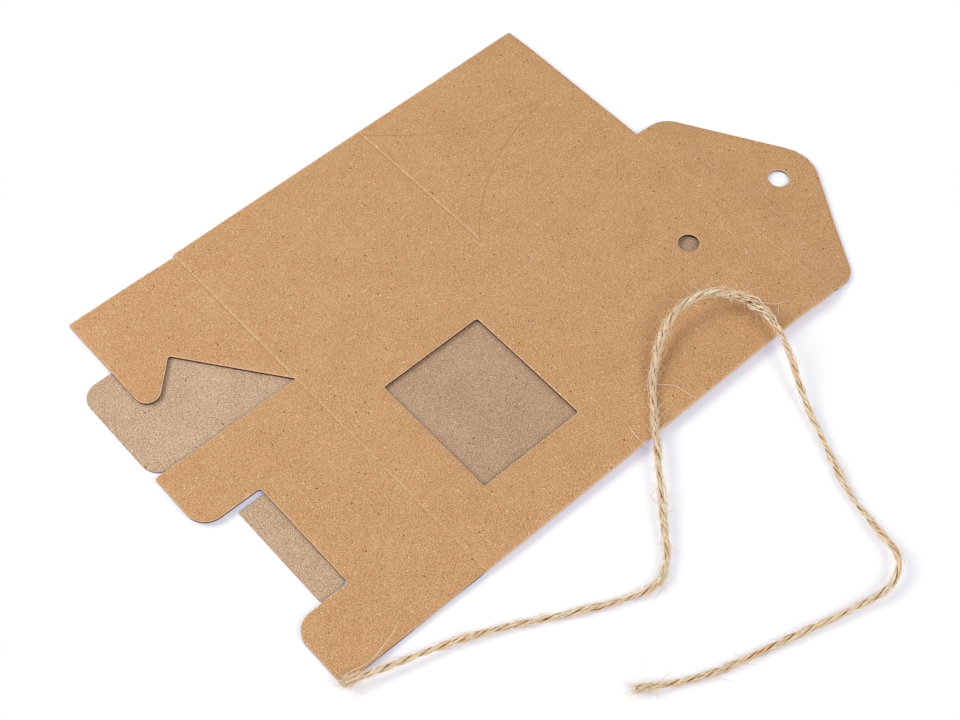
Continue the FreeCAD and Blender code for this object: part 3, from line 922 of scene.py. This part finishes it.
def make_twine(centres, stops, sideways, upright):
    """Two plies twisted to the left, each a loose bundle of strands round a core.

    Ply k is turned by p = 2 pi s / pitch + k pi. Strand j lies in its ply at the angle
    q = 2 pi j / strands - 1.2 p, so that it runs nearly straight along the twine, and its
    middle is centre + radial (off + deep cos q) + tangential wide sin q, where radial and
    tangential are the sideways and upright directions turned by p. Deep, wide and the
    thickness wander along each strand. At the two cut ends the strands fray apart.
    """
    total = stops[-1]
    turns = stops / ply_pitch + 0.10 * waves(5, stops, shortest=20, longest=45)
    to_end = np.minimum(stops, total - stops)
    splay = 1 + 0.55 * bell(to_end, 1.6)
    slack = 1 + 0.14 * waves(3, stops, shortest=12, longest=36)
    opened = bell(stops - total * 0.538, 6)
    slack *= 1 + 0.72 * opened - 0.05 * bell(stops - total * 0.64, 30)
    strands, lines, sizes = 15, [], []
    for ply in range(2):
        p = math.tau * turns + ply * math.pi
        radial = sideways * np.cos(p)[:, None] + upright * np.sin(p)[:, None]
        tangent = -sideways * np.sin(p)[:, None] + upright * np.cos(p)[:, None]
        bulk = slack * (1 + 0.08 * waves(11 + ply, stops, shortest=7, longest=20))
        for strand in range(strands + 1):
            seed = 40 + 20 * ply + strand
            core = strand == strands
            q = math.tau * strand / strands - 1.2 * p
            q += 0.35 * waves(seed, stops, shortest=5, longest=14)
            deep = 0 if core else 0.26 * bulk * splay
            wide = 0 if core else 0.37 * bulk * splay
            loose = 0 if core else (0.05 + 0.22 * opened) * waves(
                seed + 100, stops, shortest=2.0, longest=6)
            out = 0.335 * bulk * splay + (deep + loose) * np.cos(q)
            aside = (wide + loose) * np.sin(q)
            lines.append(centres + radial * out[:, None] + tangent * aside[:, None])
            size = 0.31 * bulk if core else 0.102 * (
                1 + 0.30 * waves(seed + 200, stops, shortest=1.6, longest=6))
            uneven = 0.5 + 0.5 * math.sin(strand * 2.4 + ply)
            taper = ramp((to_end - 0.9 * uneven) / 0.25) * 0.93 + 0.07
            sizes.append(size * np.where(to_end < 2, taper, 1))
    lines, sizes = np.array(lines), np.array(sizes)
    lines[:, :, 2] = np.maximum(lines[:, :, 2], sizes + 0.02)
    sides = 5
    points, faces = tubes(lines, sizes, sides)
    made = mesh_object("jute_twine", points * MM, faces)
    number = np.repeat(np.arange(len(lines)), len(stops) * sides) * 3.7
    along = np.tile(np.repeat(stops, sides), len(lines))
    turned_by = math.tau * np.tile(np.arange(sides) / sides, len(lines) * len(stops))
    point_values(made, "lay", np.column_stack([
        number + 0.3 * np.cos(turned_by), 0.3 * np.sin(turned_by), along]))
    middles = np.tile(np.repeat(centres, sides, axis=0), (len(lines), 1))
    # painted shade deep in the twine between its strands; the core strands are painted fully
    # shaded
    painted_gap_shade = ramp((0.50 - np.linalg.norm(points - middles, axis=1)) / 0.22)
    is_core = np.arange(len(lines)) % (strands + 1) == strands
    painted_gap_shade = np.maximum(painted_gap_shade, np.repeat(is_core, len(stops) * sides))
    point_values(made, "depth", np.column_stack([painted_gap_shade] * 3))
    made.data.materials.append(jute_material("jute", 0.0))
    return made


# single long fibres that have worked loose, each as the points it passes through
long_fibres = [
    [(-82.2, -54.1, 2.8), (-81.7, -53.0, 2.1), (-80.5, -53.1, 2.1), (-76.1, -54.0, 2.2),
     (-72.1, -53.2, 2.1), (-69.1, -52.4, 2.0), (-66.5, -51.1, 2.1)],
    [(36.3, -31.5, 2.0), (35.0, -33.8, 4.2), (33.6, -37.2, 7.0)],
    [(32.5, -37.4, 7.2), (34.7, -35.7, 5.0), (38.2, -35.0, 2.8), (40.5, -35.0, 2.0),
     (42.1, -35.7, 1.9)],
    [(40.1, -44.7, 7.0), (42.6, -46.5, 4.4), (45.3, -48.5, 2.8), (47.3, -49.8, 2.8),
     (49.4, -50.7, 2.9)],
    [(46.0, -49.8, 2.8), (44.0, -51.5, 2.9), (41.4, -52.0, 5.0)],
    [(38.6, -41.9, 7.2), (42.1, -43.0, 4.6), (45.6, -42.6, 2.3), (47.5, -43.6, 2.1)],
    [(10.4, -44.9, 3.6), (11.1, -46.7, 3.3), (13.4, -49.0, 3.0), (14.1, -51.7, 3.1),
     (14.6, -54.7, 3.2)],
    [(-0.8, -49.8, 2.7), (-1.5, -53.1, 2.9), (-1.6, -57.0, 3.5)],
    [(-6.6, -64.6, 3.0), (-8.3, -64.4, 1.0), (-8.6, -65.7, 0.3)],
    [(-10.4, -69.3, 2.4), (-8.4, -69.0, 0.8), (-7.3, -70.0, 0.3)],
    [(-28.8, -100.6, 1.2), (-26.8, -103.0, 1.4), (-25.0, -104.9, 0.6)],
]


def curved(points, count):
    """Even steps along a soft line through points: a Catmull-Rom curve."""
    points = np.array(points, float)
    padded = np.concatenate([[2 * points[0] - points[1]], points, [2 * points[-1] - points[-2]]])
    share = np.linspace(0, len(points) - 1, count)
    first = np.minimum(share.astype(int), len(points) - 2)
    t = (share - first)[:, None]
    a, b, c, d = (padded[first + k] for k in range(4))
    return 0.5 * (2 * b + (c - a) * t + (2 * a - 5 * b + 4 * c - d) * t ** 2
                  + (3 * b - a - 3 * c + d) * t ** 3)


def fuzz_lines(rng, centres, stops, along, sideways, upright, count, u):
    """Short fibres, thickest where the loop's strands open and at the twine's cut ends.

    A point at share u of a fibre's length L is root + L (u direction + u^2 bend), with a
    small sine wander.
    """
    weight = 0.30 + bell(stops - 95, 30) * 1.5 + bell(stops - 130, 16) * 1.6
    weight += bell(stops, 3) * 8 + bell(stops - stops[-1], 3) * 9
    at = rng.choice(len(stops), count, p=weight / weight.sum())
    bearing = rng.uniform(0, math.tau, count)
    out = (sideways[at] * np.cos(bearing)[:, None] + upright[at] * np.sin(bearing)[:, None])
    direction = unit(out * rng.uniform(0.15, 0.9, count)[:, None]
                     + rng.choice([-1, 1], count)[:, None] * along[at])
    length = rng.gamma(2.0, 0.6, count) + 0.6
    wander = rng.normal(0, 0.05, (count, 1, 3)) * np.sin(u * 7 + 1)[None, :, None]
    return (centres[at] + out * 0.45)[:, None] + length[:, None, None] * (
        u[None, :, None] * direction[:, None]
        + (u ** 2)[None, :, None] * rng.normal(0, 0.25, (count, 1, 3)) + wander)


def lying_lines(rng, centres, stops, sideways, upright, count, steps):
    """Fibres that lie along the twine and turn slowly round it.

    Each follows the twine's middle at the distance 0.78 + lift sin(pi u).
    """
    middle = rng.uniform(4, stops[-1] - 4, count)
    reach = np.minimum(rng.uniform(2.0, 6.5, count), np.minimum(middle, stops[-1] - middle))
    where = middle[:, None] + reach[:, None] * np.linspace(-1, 1, steps)
    index = np.clip((where / stops[-1] * (len(stops) - 1)).round().astype(int), 0,
                    len(stops) - 1)
    turn = (rng.uniform(0, math.tau, count)[:, None]
            + rng.uniform(-0.16, 0.32, count)[:, None] * (where - middle[:, None]))
    away = 0.78 + rng.uniform(-0.1, 0.45, count)[:, None] * np.sin(
        np.linspace(0, math.pi, steps))[None]
    base = np.stack([np.interp(where, stops, centres[:, k]) for k in range(3)], -1)
    return base + away[:, :, None] * (sideways[index] * np.cos(turn)[:, :, None]
                                      + upright[index] * np.sin(turn)[:, :, None])


def make_fibres(centres, stops, along, sideways, upright):
    """Loose fibres: fuzz, some that lie along the twine, and a few long ones.

    They thin out towards their tips, and none goes below the table.
    """
    rng = np.random.default_rng(7)
    short_count, lying_count, lying_steps, long_steps = 2100, 230, 16, 26
    u = np.linspace(0, 1, 8)
    short = fuzz_lines(rng, centres, stops, along, sideways, upright, short_count, u)
    lying = lying_lines(rng, centres, stops, sideways, upright, lying_count, lying_steps)
    long = np.array([curved(points, long_steps) for points in long_fibres])
    groups = (
        (short, rng.uniform(0.03, 0.06, short_count)[:, None] * (1 - 0.7 * u[None] ** 2)),
        (lying, rng.uniform(0.04, 0.07, lying_count)[:, None]
         * (0.3 + 0.7 * np.sin(np.linspace(0.1, 3.04, lying_steps))[None])),
        (long, np.full((len(long), long_steps), 0.088)
         * (1 - 0.45 * np.linspace(0, 1, long_steps) ** 2)))
    sheets, faces, start = [], [], 0
    for lines, radius in groups:
        lines[:, :, 2] = np.maximum(lines[:, :, 2], 0.08)
        points, quads = tubes(lines, radius, 4)
        sheets.append(points)
        faces += [[v + start for v in face] for face in quads]
        start += len(points)
    points = np.concatenate(sheets)
    made = mesh_object("jute_fibres", points * MM, faces)
    point_values(made, "lay", points + (0, 0, 9))
    point_values(made, "depth", np.zeros((len(points), 3)))
    made.data.materials.append(jute_material("loose_fibre", 0.6))
    return made


def jute_material(name, pale):
    """Jute: straw-coloured strands streaked along their length, painted shade between them."""
    material, tree, shader = new_material(name)
    lay = stored(tree, "lay")
    depth = along_axis(tree, stored(tree, "depth"), 0)
    bundles = noise(tree, turned(tree, lay, 0, (1.7, 1.7, 0.16)), 1.0, detail=2.0,
                    roughness=0.6)
    streaks = noise(tree, turned(tree, lay, 0, (5.0, 5.0, 0.35)), 1.0, detail=2.0)
    patches = noise(tree, lay, 0.28, detail=2.0)
    tone = maths(tree, "MULTIPLY_ADD", bundles, 0.7, maths(tree, "MULTIPLY", streaks, 0.3))
    shade = mixed(tree, ranged(tree, tone, 0.44, 0.53), colour(242, 194, 142),
                  colour(255, 248, 224))
    shade = mixed(tree, ranged(tree, patches, 0.45, 0.75, 0.0, 0.3), shade,
                  colour(255, 222, 180))
    shade = mixed(tree, pale, shade, colour(255, 240, 214))
    # painted shade deep in the twine, between its strands
    shade = mixed(tree, maths(tree, "MULTIPLY", depth, 0.9), shade, colour(150, 92, 48))
    fill(tree, shader, {"Base Color": shade, "Roughness": 0.5, "Specular IOR Level": 0.12,
                        "Sheen Weight": 0.25, "Sheen Roughness": 0.4,
                        "Sheen Tint": (1.0, 0.84, 0.62, 1),
                        "Normal": bumped(tree, tone, 0.6, 0.00008)})
    return material


centres, stops = smooth_route(twine_route, 0.5)
along, sideways, upright = directions(centres)
twine = make_twine(centres, stops, sideways, upright)
fibres = make_fibres(centres, stops, along, sideways, upright)
for piece in (twine, fibres):
    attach(piece, "carton")
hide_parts("twine")


# ---- table and light

def make_table():
    """Plain white table top that keeps a faint cool shadow close round the box."""
    half = 3.0
    points = np.array([(-half, -half, 0), (half, -half, 0), (half, half, 0), (-half, half, 0)])
    table = mesh_object("table_top", points - (0, 0, 0.00003), [(0, 1, 2, 3)])
    material, tree, shader = new_material("white_table")
    tree.nodes.remove(shader)
    place = node(tree, "SeparateXYZ", {0: node(tree, "TexCoord", {}).outputs["Object"]})
    off_x = maths(tree, "SUBTRACT", maths(tree, "ABSOLUTE", place.outputs[0]), 0.086)
    from_middle = maths(tree, "ADD", place.outputs[1], 0.030)
    off_y = maths(tree, "SUBTRACT", maths(tree, "ABSOLUTE", from_middle), 0.085)
    away = ranged(tree, maths(tree, "MAXIMUM", off_x, off_y), 0.005, 0.045, smooth=True)
    plain = node(tree, "BsdfDiffuse", {"Color": (0.82, 0.82, 0.84, 1)})
    shaded = node(tree, "BsdfDiffuse", {"Color": (0.86, 0.85, 0.69, 1)})
    glow = node(tree, "Emission", {"Color": (0.25, 0.26, 0.42, 1)})
    near = node(tree, "AddShader", {0: shaded.outputs[0], 1: glow.outputs[0]})
    white = node(tree, "Emission", {"Color": (1, 1, 1, 1)})
    seen = node(tree, "MixShader", {0: away, 1: near.outputs[0], 2: white.outputs[0]})
    path = node(tree, "LightPath", {})
    whole = node(tree, "MixShader", {0: path.outputs["Is Camera Ray"], 1: plain.outputs[0],
                                     2: seen.outputs[0]})
    tree.links.new(whole.outputs[0], tree.nodes["Material Output"].inputs["Surface"])
    table.data.materials.append(material)


def make_lamp(name, azimuth, elevation, distance, size, power):
    """Round soft lamp that faces the box from a bearing, in degrees, metres and watts."""
    data = bpy.data.lights.new(name, "AREA")
    data.shape = "DISK"
    data.size = size
    data.energy = power
    lamp = bpy.data.objects.new(name, data)
    bearing, height = math.radians(azimuth), math.radians(elevation)
    away = Vector((math.cos(bearing) * math.cos(height), math.sin(bearing) * math.cos(height),
                   math.sin(height)))
    lamp.matrix_world = (Matrix.Translation(away * distance)
                         @ away.to_track_quat("Z", "Y").to_matrix().to_4x4())
    scene.collection.objects.link(lamp)


def make_room():
    """Even pale room, which looks white itself."""
    world = bpy.data.worlds.new("pale_room")
    scene.world = world
    world.use_nodes = True
    tree = world.node_tree
    ground = tree.nodes["Background"]
    path = node(tree, "LightPath", {})
    seen = maths(tree, "MAXIMUM", path.outputs["Is Glossy Ray"],
                 path.outputs["Is Transmission Ray"])
    seen = maths(tree, "MAXIMUM", path.outputs["Is Camera Ray"], seen)
    tree.links.new(ranged(tree, seen, 0, 1, 0.395, 1.0), ground.inputs["Strength"])
    ground.inputs["Color"].default_value = (1, 1, 1, 1)


make_table()
make_lamp("left_softbox", 138, 46, 0.68, 0.42, 2.46)
make_lamp("right_softbox", -85, 44, 1.2, 0.62, 4.3)
make_room()
scene.view_settings.view_transform = "Standard"
